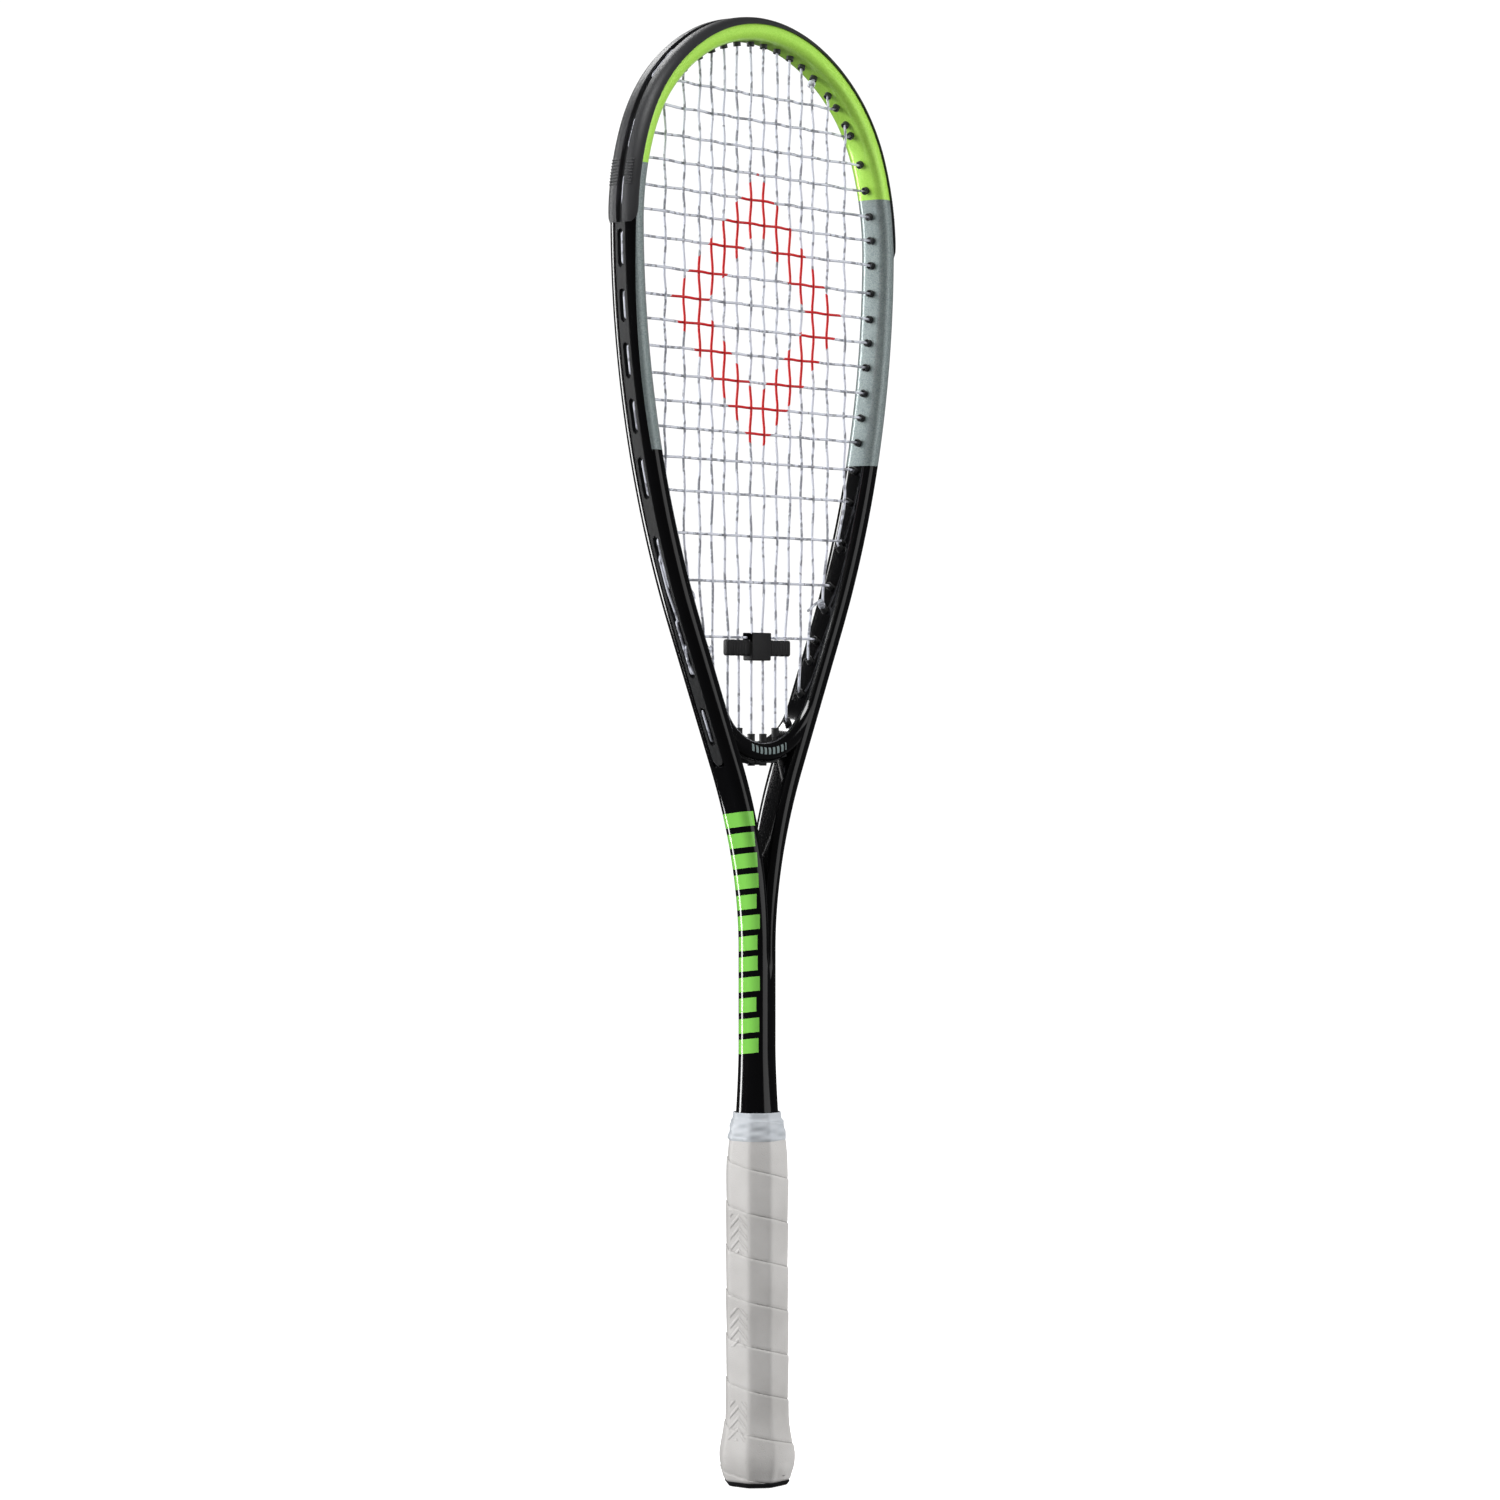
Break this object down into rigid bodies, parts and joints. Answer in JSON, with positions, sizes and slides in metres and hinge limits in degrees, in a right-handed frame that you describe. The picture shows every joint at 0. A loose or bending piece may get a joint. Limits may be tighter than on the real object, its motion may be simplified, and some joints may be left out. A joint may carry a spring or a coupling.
{
  "type": "squash racket",
  "caption": "Squash racket with a teardrop head, open throat and bridge, a woven string bed, a sliding vibration dampener and an octagonal wrapped grip.",
  "frame": {"origin": "centre of the butt cap's flat bottom face", "axes": "+Z along the racket from the butt to the tip, +X across the face, +Y through the face towards its rear side"},
  "size_m": [0.2048, 0.0336, 0.685],
  "materials": {
    "carbon_frame": "painted carbon laminate, lime to grey-green to gloss black",
    "carbon_bridge": "gloss black lacquer over carbon laminate",
    "bridge_foam": "closed-cell foam",
    "bumper_plastic": "fine moulded texture, matte",
    "grommet_plastic": "satin moulded nylon",
    "string": "coated multifilament, satin",
    "dampener_rubber": "soft black rubber",
    "pallet_foam": "rigid polyurethane foam",
    "butt_cap_plastic": "satin black moulding",
    "staple_steel": "bright wire",
    "adhesive_tape": "double-sided tape",
    "grip_leather": "off-white synthetic leather, fine pores",
    "finishing_tape": "smooth vinyl, slightly blue white"
  },
  "bodies": {
    "racket": {"frame_tube": "carbon_frame", "throat_bridge": "carbon_bridge", "bridge_foam_core": "bridge_foam", "bumper_guard": "bumper_plastic", "grommet_strip_left": "grommet_plastic", "grommet_strip_right": "grommet_plastic", "throat_grommet_strip": "grommet_plastic", "main_string": "string", "cross_string": "string", "main_string_knots": "string", "cross_string_knots": "string", "handle_pallet": "pallet_foam", "butt_cap": "butt_cap_plastic", "butt_cap_staples": "staple_steel", "grip_tack": "staple_steel", "underlay_tape": "adhesive_tape", "grip_wrap": "grip_leather", "finishing_tape": "finishing_tape"},
    "dampener": {"dampener": "dampener_rubber"}
  },
  "joints": [
    {"name": "dampener_slide", "type": "slide", "parent": "racket", "child": "dampener", "axis": [0, 0, 1], "range_m": [-0.018, 0]}
  ]
}
